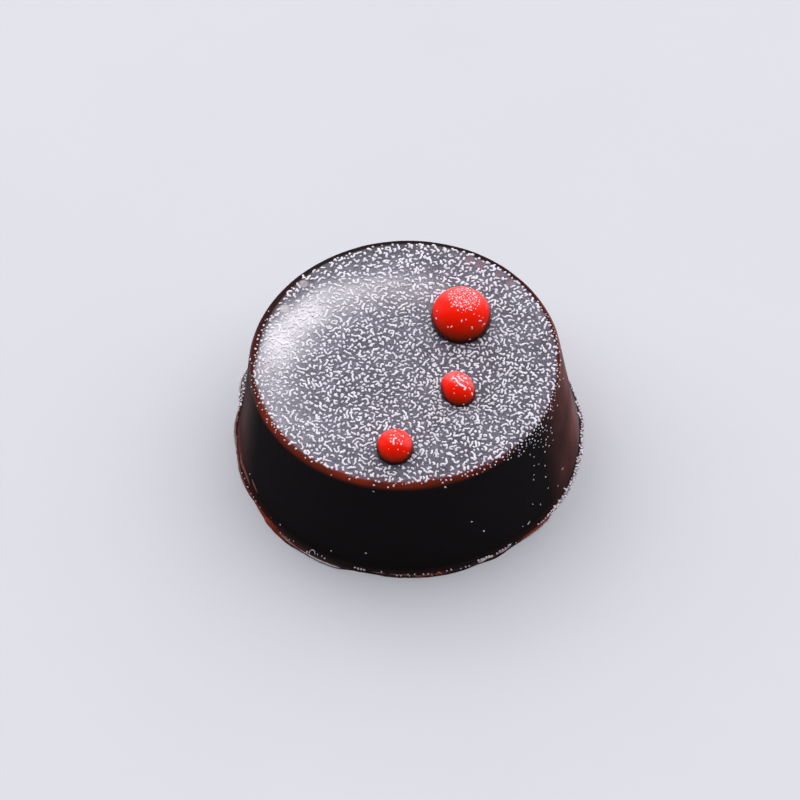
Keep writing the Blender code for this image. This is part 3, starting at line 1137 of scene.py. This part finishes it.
class PRALINE_OT_drops(bpy.types.Operator):
    """Build the three red drops"""

    bl_idname = "praline.drops"
    bl_label = "Red Drops"
    bl_options = {"REGISTER", "UNDO"}

    def execute(self, context):
        body = context.scene.praline_body
        drops = context.scene.praline_drops
        material = glaze_material(drops, body.dust_and_highlight)
        for node in DROP_NODES:
            low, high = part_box(node)
            middle = (low + high) / 2.0
            size, cross = (high.x - low.x) / 2.0, (high.y - low.y) / 2.0
            turn = 0.0
            if node == "drop_middle":
                size, cross, turn = drops.middle_length, drops.middle_width, drops.middle_turn
            radius = (size + cross) / 2.0
            centre = Vector((middle.x, middle.y, high.z - radius))
            lowest = math.acos(max((body.height - 0.05 * MM - centre.z) / radius, -1.0))
            rings = 44
            spin = Matrix.Rotation(turn, 3, "Z")

            def place(ring, azimuth, radius=radius, centre=centre, lowest=lowest, spin=spin,
                      size=size, cross=cross):
                angle = lowest * min(ring / (rings - 2), 1.0)
                across = radius * math.sin(angle) if ring < rings - 1 else 0.0
                point = Vector((across * math.cos(azimuth), across * math.sin(azimuth), 0.0))
                point.x *= size / radius
                point.y *= cross / radius
                point = spin @ point
                point.z = radius * math.cos(angle)
                uneven = drops.unevenness * ripple(point, 1.6 * MM, 40.0 + centre.x / MM)
                swell = uneven / radius if point.z > -0.3 * radius else 0.0
                return centre + point * (1.0 + swell)

            mesh = closed_mesh(node + "_glaze", rings, 96, place)
            floor, top = body.height, high.z
            turn_aside, most_aside, film_end, film_share = DROP_FILM_AND_HIGHLIGHT[node]
            depth, film, foot = [], [], []
            for vertex in mesh.vertices:
                share = (vertex.co.z - floor) / (top - floor)
                lean = (vertex.co.y - centre.y) / radius
                aside = (vertex.co.x - centre.x) / radius
                # Painted shade: darker low down, towards the front and the left, away from the
                # light behind.
                shadow = 1.0 - smooth_step(-0.02, 0.72, share + 0.14 * lean + 0.06 * aside)
                depth.append(shadow)
                # Powder film with painted highlight, on the drop's back and top, facing the light.
                up = (vertex.co.z - centre.z) / radius
                uneven = 1.0 + 0.7 * ripple(vertex.co, 0.5 * MM, 44.0)
                dusted_and_lit = 0.80 * lean + 0.60 * up + turn_aside * min(aside, most_aside) - film_end
                dusted_and_lit += 0.10 * ripple(vertex.co, 0.6 * MM, 46.0)
                film.append(film_share * uneven * smooth_step(-0.12, 0.28, dusted_and_lit))
                # Painted contact shadow: a thin dark ring at the foot, on the drop's front side
                # only.
                flat = max(math.hypot(lean, aside), 0.01)
                side = math.sqrt(1.0 - (1.0 - 0.17 * MM / radius) ** 2)
                ring = side * abs(aside / flat) ** 3
                ring = 0.9 * (1.0 - smooth_step(ring - 0.12, ring + 0.10, up))
                foot.append(ring * (1.0 - smooth_step(0.0, 0.80, lean / flat)))
            store(mesh, "glaze_shade", depth)
            store(mesh, "glaze_contact_shadow", foot)
            store(mesh, "powder_haze_and_sheen", film)
            new_piece(node + "_glaze", mesh, material, "red_glaze", node)
        return {"FINISHED"}


# ---- the powder --------------------------------------------------------------------------


def on_lip(point):
    """True on the upper side of the lip."""
    across = math.hypot(point.x, point.y)
    low = point.z < LIP_ROOT[1] + 0.20 * MM
    return low and point.z > 0.06 * MM and across > LIP_ROOT[0]


def past_edge(point):
    """How far a point of the rim or the wall lies beyond the powdered disc."""
    degrees = math.degrees(math.atan2(point.y, point.x))
    edge = powder_edge(degrees) + 0.11 * MM * ripple(point, 1.0 * MM, 15.0)
    return powder_reach(point) - edge


def top_cover(point):
    """How likely powder lies at a point of the powdered disc, from 0 to 1."""
    cover = 1.0 - smooth_step(-0.05 * MM, 0.14 * MM, past_edge(point))
    return cover * (1.0 - bare(point))


def rim_cover(point):
    """How likely stray powder lies at a point beyond the disc, from 0 to 1."""
    past = past_edge(point)
    if past < 0.02 * MM:
        return 0.0
    degrees = math.degrees(math.atan2(point.y, point.x))
    spill = 0.30 * bump_at(degrees, -37.0, 9.0) * math.exp(-past / (0.55 * MM))
    clean = smooth_step(12.0, 30.0, degrees) * (1.0 - smooth_step(150.0, 160.0, degrees))
    clean = max(clean, 0.93 * bump_at(degrees % 360.0, 245.0, 55.0))
    return max(spill, (1.0 - clean) * math.exp(-past / (0.14 * MM)))


def crust_cover(point):
    """How likely a point of the lip lies under its crust of powder, from 0 to 1."""
    degrees = math.degrees(math.atan2(point.y, point.x))
    right = smooth_step(-45.0, -40.0, degrees) * (1.0 - smooth_step(45.0, 75.0, degrees))
    right *= 1.0 - 0.35 * smooth_step(-22.0, -8.0, degrees)
    left_back = 0.45 * bump_at(degrees, 158.0, 9.0)
    share = (math.hypot(point.x, point.y) - LIP_ROOT[0]) / (lip_radius(degrees) - LIP_ROOT[0])
    outer = smooth_step(0.25, 0.55, share)
    return outer * max(right, left_back, 0.25 * bump_at(degrees, 110.0, 30.0))


def drop_cover(point, centre, radius):
    """How likely powder lies at a point of a drop: most on the large one's top."""
    spot = centre + Vector((0.13, 0.04, 0.98)) * radius
    near = 1.0 - smooth_step(0.20, 0.62, (point - spot).length / radius)
    return 0.001 + near * (1.0 if radius > 2.0 * MM else 0.04)


class PowderField:
    """Keeps the points of settled grains, to see whether a new one would crowd them."""

    def __init__(self, cell, stretch):
        self.cell, self.stretch = cell, stretch
        self.points = {}

    def key(self, point):
        return tuple(math.floor(value / self.cell) for value in point)

    def flat(self, point):
        return Vector((point.x, point.y / (1.0 + self.stretch), point.z))

    def crowded(self, point, gap):
        point = self.flat(point)
        across, along, up = self.key(point)
        for i in (-1, 0, 1):
            for j in (-1, 0, 1):
                for k in (-1, 0, 1):
                    for other in self.points.get((across + i, along + j, up + k), ()):
                        if (other - point).length < gap:
                            return True
        return False

    def settle(self, line):
        for point in line:
            point = self.flat(point)
            self.points.setdefault(self.key(point), []).append(point)


class StartPoints:
    """Draws points on the praline's surface where powder is likely to lie."""

    def __init__(self, verts, faces, covers):
        self.verts, self.faces, self.total = verts, faces, []
        running = 0.0
        for face, cover in zip(faces, covers, strict=True):
            corners = [verts[i] for i in face]
            area = (corners[2] - corners[0]).cross(corners[-1] - corners[1]).length / 2.0
            running += area * cover
            self.total.append(running)

    def draw(self, draws):
        place = bisect.bisect_left(self.total, draws.random() * self.total[-1])
        corners = [self.verts[i] for i in self.faces[min(place, len(self.faces) - 1)]]
        if len(corners) == 4:
            across, along = draws.random(), draws.random()
            low = corners[0].lerp(corners[1], across)
            return low.lerp(corners[3].lerp(corners[2], across), along)
        first, second = sorted((draws.random(), draws.random()))
        return corners[0] * first + corners[1] * (second - first) + corners[2] * (1.0 - second)


def powder_ground():
    """The surface that powder lies on, and where each bed of powder is likely."""
    names = ["praline_shell"] + [node + "_glaze" for node in DROP_NODES]
    for name in names:
        if name not in bpy.data.objects:
            raise RuntimeError("The body and the drops have to be built before the powder")
    tree, verts, faces = surface_of(*names)
    shell_faces = len(bpy.data.objects["praline_shell"].data.polygons)
    spots = []
    for node in DROP_NODES:
        low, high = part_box(node)
        radius = (high.x - low.x) / 2.0
        middle = (low + high) / 2.0
        spots.append((Vector((middle.x, middle.y, high.z - radius)), radius))
    covers = {bed.name: [] for bed in POWDER_BEDS}
    for index, face in enumerate(faces):
        centre = sum((verts[i] for i in face), Vector()) / len(face)
        found = dict.fromkeys(covers, 0.0)
        spot, radius = min(spots, key=lambda known: (known[0] - centre).length)
        if index >= shell_faces:
            found["drops"] = drop_cover(centre, spot, radius)
        elif on_lip(centre):
            found["crust"] = crust_cover(centre)
            found["lip"] = 1.0 if centre.z > 0.15 * MM else 0.0
        elif centre.z > WALL_FOOT[1] and (centre - spot).length > radius + 0.08 * MM:
            found["top"] = top_cover(centre)
            found["rim"] = rim_cover(centre)
        for bed, cover in found.items():
            covers[bed].append(cover)
    return tree, {bed: StartPoints(verts, faces, covers[bed]) for bed in covers}


def tangent(normal, draws):
    """A random direction along a surface."""
    heading = Vector([draws.gauss(0.0, spread) for spread in (1.0, 1.6, 1.0)])
    return (heading - normal * heading.dot(normal)).normalized()


def bites_itself(guess, line, gap):
    """True where a growing clump would curl back against itself."""
    return any((guess - point).length < 0.8 * gap for point, _ in line[:-2])


def grow_grain(start, tree, field, draws, powder, bed):
    """The line of points that a clump of powder follows over the surface, and their normals."""
    point, normal, _, _ = tree.find_nearest(start)
    drift = swelling(point) * (1.0 + 0.22 * ripple(point, 1.7 * MM, 33.0))
    gap = powder.spacing * bed.spacing * drift * draws.uniform(0.92, 1.14)
    if field.crowded(point, gap):
        return None
    heading = tangent(normal, draws)
    line = [(point, normal)]
    gap *= powder.crowding
    held = bed.name == "top" and top_cover(point) > 0.5
    steps = draws.choice(bed.lengths)
    if bed.name == "top" and not held:
        steps = min(steps, 1)
    for _ in range(steps):
        for _ in range(4):
            turned = heading.copy()
            turned.rotate(Quaternion(normal, draws.gauss(0.0, powder.turning)))
            step = turned * powder.stride * (1.0 + powder.stretch * turned.y ** 2)
            guess, guess_normal, _, _ = tree.find_nearest(point + step)
            over = guess_normal.dot(normal) < 0.8 or (held and top_cover(guess) < 0.5)
            if not over and not field.crowded(guess, gap) and not bites_itself(guess, line, gap):
                break
        else:
            break
        point, normal = guess, guess_normal
        heading = (turned - normal * turned.dot(normal)).normalized()
        line.append((point, normal))
    if len(line) < 3 and bed.name == "top" and draws.random() < 0.5:
        return None
    return line


def branch_of(line, tree, field, draws, powder, bed):
    """A short side arm that leaves a clump part of the way along, or None."""
    if len(line) < 3 or draws.random() > powder.branching:
        return None
    at = draws.randrange(1, len(line) - 1)
    point, normal = line[at]
    along = (line[at + 1][0] - line[at - 1][0]).normalized()
    heading = normal.cross(along) * draws.choice((-1.0, 1.0)) + along * draws.uniform(-0.7, 0.7)
    arm = [(point, normal)]
    gap = powder.spacing * bed.spacing * powder.crowding
    for _ in range(draws.choice((1, 2, 3))):
        guess, normal, _, _ = tree.find_nearest(point + heading.normalized() * powder.stride)
        if field.crowded(guess, gap):
            break
        point = guess
        arm.append((point, normal))
    return arm if len(arm) > 1 else None


def sunk(point):
    """How far the grains sink where the painted highlight lies on the top, from 0 to 1."""
    return min(dust_and_highlight("top", math.atan2(point.y, point.x), point), 1.0)


def swelling(point):
    """How much larger and further apart the clumps are towards the far side."""
    return 1.0 + 0.14 * smooth_step(0.0, 12.0 * MM, point.y)


def clump(line, draws, thickness, lumpiness=0.3, depth=0.0):
    """A strand for tube_mesh from a grain's line, lumpy and tapering to its ends."""
    if len(line) == 1:
        point, normal = line[0]
        aside = tangent(normal, draws) * thickness * 0.35
        line = [(point - aside, normal), (point + aside, normal)]
    strand = []
    base = thickness * draws.uniform(0.82, 1.15)
    for i, (point, normal) in enumerate(line):
        width = base * draws.uniform(1.0 - lumpiness, 1.0 + lumpiness)
        height = width * draws.uniform(0.42, 0.64)
        place = point + normal * height * (0.40 - 0.45 * depth)
        place.z = max(place.z, width)
        strand.append((place, normal, width, height))
    return strand, draws.random() ** 2 * 0.8


def single_grain(guess, tree, field, draws, thickness):
    """A small grain at one place."""
    point, normal, _, _ = tree.find_nearest(guess)
    field.settle([point])
    return clump([(point, normal)], draws, thickness)


def settled_grains(powder):
    """Grains grown over the chocolate and over the drops until no more fit, and their field."""
    draws = random.Random(powder.seed)
    tree, starts = powder_ground()
    field = PowderField(powder.spacing * 1.2, powder.stretch)
    strands, red_lit = [], []
    for azimuth, up, size in WALL_GRAINS:
        azimuth = math.radians(azimuth)
        across = WALL_FOOT[0] - (up * MM - WALL_FOOT[1]) * math.tan(DRAFT)
        guess = Vector((across * math.cos(azimuth), across * math.sin(azimuth), up * MM))
        strands.append(single_grain(guess, tree, field, draws, powder.thickness * size))
    for azimuth, share, size in LIP_GRAINS:
        radius = LIP_ROOT[0] + (lip_radius(azimuth) - LIP_ROOT[0]) * share
        azimuth = math.radians(azimuth)
        guess = Vector((radius * math.cos(azimuth), radius * math.sin(azimuth), LIP_ROOT[1]))
        strands.append(single_grain(guess, tree, field, draws, powder.thickness * size))
    for node, half, path in DROP_CLUMPS:
        low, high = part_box(node)
        radius = (high.x - low.x) / 2.0
        middle = Vector(((low.x + high.x) / 2.0, (low.y + high.y) / 2.0, high.z - radius))
        line = []
        for across, along in path:
            up = math.sqrt(1.0 - across * across - along * along)
            guess = middle + Vector((across, along, up)) * radius
            line.append(tree.find_nearest(guess)[:2])
        field.settle([point for point, _ in line])
        red_lit.append(clump(line, draws, half * MM))
    for bed in POWDER_BEDS:
        most = round(powder.grains * bed.share)
        grown = 0
        for _ in range(most * 16):
            if grown == most:
                break
            line = grow_grain(starts[bed.name].draw(draws), tree, field, draws, powder, bed)
            if line is None:
                continue
            grown += 1
            arm = branch_of(line, tree, field, draws, powder, bed)
            for part in (line, arm):
                if part:
                    field.settle([point for point, _ in part])
                    thickness = powder.thickness * bed.width * swelling(line[0][0])
                    depth = sunk(line[0][0]) if bed.name == "top" else 0.0
                    pile = red_lit if bed.name == "drops" else strands
                    pile.append(clump(part, draws, thickness, powder.lumpiness, depth))
    return strands, red_lit, field, tree, starts, draws


class PRALINE_OT_powder(bpy.types.Operator):
    """Build the powder: the grains and clumps, and the fine specks between them"""

    bl_idname = "praline.powder"
    bl_label = "Powder"
    bl_options = {"REGISTER", "UNDO"}

    def execute(self, context):
        powder = context.scene.praline_powder
        strands, red_lit, field, tree, starts, draws = settled_grains(powder)
        specks = []
        for bed, share, gap in SPECKS:
            for _ in range(round(powder.specks * share) * 3):
                point, normal, _, _ = tree.find_nearest(starts[bed].draw(draws))
                if field.crowded(point, powder.spacing * gap):
                    continue
                field.settle([point])
                small = 0.7 if bed == "drops" else 1.0
                half = powder.speck_size * small * draws.uniform(0.6, 1.2)
                pile = red_lit if bed == "drops" else specks
                pile.append(clump([(point, normal)], draws, half))
        # The powder on the drops takes a painted red light bounced from the glaze.
        for name, pile, colour in (
            ("powder_grains", strands, powder.colour),
            ("powder_specks", specks, powder.colour),
            ("red_lit_grains", red_lit, powder.red_bounce),
        ):
            grains = tube_mesh(name, pile, 5)
            new_piece(name, grains, powder_material(name, colour), "white_powder")
        return {"FINISHED"}


# ---- the stage ---------------------------------------------------------------------------


def floor_material(stage):
    """A plain pale floor with the faintest unevenness."""
    material, tree, shader = new_material(
        "pale_floor", {"Roughness": 0.85, "Specular IOR Level": 0.15}
    )
    mottle = place_group(
        tree, "Soft Mottle", soft_mottle_group, {"Scale": 30.0, "Low": 0.0, "High": 0.4}
    )
    darker = [channel * 0.96 for channel in stage.floor_colour[:3]] + [1.0]
    colour = mix_colours(tree, stage.floor_colour, darker, mottle.outputs["Value"])
    tree.links.new(colour, shader.inputs["Base Color"])
    return material


def add_sky(scene, stage):
    """Soft light from the half of the sky behind the praline, and a pale backdrop."""
    world = bpy.data.worlds.new("soft_studio")
    scene.world = world
    world.use_nodes = True
    tree = world.node_tree
    tree.nodes.clear()
    place = add_node(tree, "ShaderNodeTexCoord")
    facing = add_node(tree, "ShaderNodeVectorMath", operation="DOT_PRODUCT")
    facing.inputs[1].default_value = Vector((0.10, 0.90, 0.42)).normalized()
    strength = add_node(
        tree, "ShaderNodeMapRange",
        {"From Min": -0.06, "From Max": 0.26, "To Min": stage.sky_dim, "To Max": stage.sky_bright},
        interpolation_type="SMOOTHSTEP",
    )
    light = add_node(tree, "ShaderNodeBackground", {"Color": (1.0, 0.965, 1.02, 1.0)})
    backdrop = add_node(
        tree, "ShaderNodeBackground", {"Color": (0.62, 0.64, 0.66, 1.0), "Strength": 0.9}
    )
    seen = add_node(tree, "ShaderNodeLightPath")
    both = add_node(tree, "ShaderNodeMixShader")
    end = add_node(tree, "ShaderNodeOutputWorld")
    tree.links.new(place.outputs["Generated"], facing.inputs[0])
    tree.links.new(facing.outputs["Value"], strength.inputs["Value"])
    tree.links.new(strength.outputs["Result"], light.inputs["Strength"])
    tree.links.new(seen.outputs["Is Camera Ray"], both.inputs[0])
    tree.links.new(light.outputs[0], both.inputs[1])
    tree.links.new(backdrop.outputs[0], both.inputs[2])
    tree.links.new(both.outputs[0], end.inputs["Surface"])


def add_softbox(name, azimuth, elevation, distance, size, watts, colour):
    """A square area light that faces the praline and isn't seen itself."""
    light = bpy.data.lights.new(name, "AREA")
    light.shape = "RECTANGLE"
    light.size, light.size_y = size
    light.energy = watts
    light.color = colour
    lamp = bpy.data.objects.new(name, light)
    bpy.context.scene.collection.objects.link(lamp)
    azimuth, elevation = math.radians(azimuth), math.radians(elevation)
    direction = Vector((
        math.cos(azimuth) * math.cos(elevation),
        math.sin(azimuth) * math.cos(elevation),
        math.sin(elevation),
    ))
    lamp.location = direction * distance
    lamp.rotation_euler = direction.to_track_quat("Z", "Y").to_euler()
    lamp.visible_camera = False
    return lamp


def add_camera(scene, stage):
    """The camera, above and in front of the praline."""
    rise, roll = stage.camera_elevation, stage.camera_roll
    right = Vector((1.0, 0.0, 0.0))
    up = Vector((0.0, math.sin(rise), math.cos(rise)))
    ahead = Vector((0.0, math.cos(rise), -math.sin(rise)))
    place = -stage.camera_aside * right + stage.camera_above * up - stage.camera_distance * ahead
    across = math.cos(roll) * right + math.sin(roll) * up
    upward = -math.sin(roll) * right + math.cos(roll) * up
    data = bpy.data.cameras.new("camera")
    data.lens = stage.lens
    data.sensor_width = 36.0
    data.clip_start, data.clip_end = 0.01, 50.0
    camera = bpy.data.objects.new("camera", data)
    scene.collection.objects.link(camera)
    camera.matrix_world = Matrix((
        (across.x, upward.x, -ahead.x, place.x),
        (across.y, upward.y, -ahead.y, place.y),
        (across.z, upward.z, -ahead.z, place.z),
        (0.0, 0.0, 0.0, 1.0),
    ))
    scene.camera = camera


class PRALINE_OT_stage(bpy.types.Operator):
    """Build the pale floor, the soft light and the camera"""

    bl_idname = "praline.stage"
    bl_label = "Stage"
    bl_options = {"REGISTER", "UNDO"}

    def execute(self, context):
        scene = context.scene
        stage = scene.praline_stage
        half = stage.floor_size / 2.0
        shape = bmesh.new()
        bmesh.ops.create_grid(shape, x_segments=1, y_segments=1, size=half)
        mesh = bpy.data.meshes.new("floor")
        shape.to_mesh(mesh)
        shape.free()
        mesh.materials.append(floor_material(stage))
        floor = bpy.data.objects.new("floor", mesh)
        scene.collection.objects.link(floor)
        add_sky(scene, stage)
        add_softbox("highlight", 115.0, 42.0, 0.8, (0.30, 0.22), 0.5, (1.0, 0.98, 1.0))
        add_camera(scene, stage)
        scene.view_settings.view_transform = "Standard"
        scene.view_settings.look = "None"
        return {"FINISHED"}


# ---- the add-on --------------------------------------------------------------------------


class PRALINE_PT_panel(bpy.types.Panel):
    """Lists the praline's pieces and their settings"""

    bl_idname = "PRALINE_PT_panel"
    bl_label = "Praline"
    bl_space_type = "VIEW_3D"
    bl_region_type = "UI"
    bl_category = "Praline"

    def draw(self, context):
        scene = context.scene
        for group, operators in PANEL_ROWS:
            box = self.layout.box()
            settings = getattr(scene, group)
            for name in settings.__annotations__:
                box.prop(settings, name)
            for operator in operators:
                box.operator(operator)


PANEL_ROWS = (
    ("praline_body", ("praline.body", "praline.curls")),
    ("praline_drops", ("praline.drops",)),
    ("praline_powder", ("praline.powder",)),
    ("praline_stage", ("praline.stage",)),
)
SETTINGS = {
    "praline_body": PralineBodySettings,
    "praline_drops": PralineDropSettings,
    "praline_powder": PralinePowderSettings,
    "praline_stage": PralineStageSettings,
}
OPERATORS = (
    PRALINE_OT_body,
    PRALINE_OT_curls,
    PRALINE_OT_drops,
    PRALINE_OT_powder,
    PRALINE_OT_stage,
)


def register():
    for settings in SETTINGS.values():
        bpy.utils.register_class(settings)
    for operator in OPERATORS:
        bpy.utils.register_class(operator)
    bpy.utils.register_class(PRALINE_PT_panel)
    for name, settings in SETTINGS.items():
        setattr(bpy.types.Scene, name, PointerProperty(type=settings))


def unregister():
    for name in SETTINGS:
        delattr(bpy.types.Scene, name)
    bpy.utils.unregister_class(PRALINE_PT_panel)
    for operator in reversed(OPERATORS):
        bpy.utils.unregister_class(operator)
    for settings in reversed(list(SETTINGS.values())):
        bpy.utils.unregister_class(settings)


def main():
    register()
    bpy.ops.praline.body()
    bpy.ops.praline.curls()
    bpy.ops.praline.drops()
    bpy.ops.praline.powder()
    bpy.ops.praline.stage()


if __name__ == "__main__":
    main()
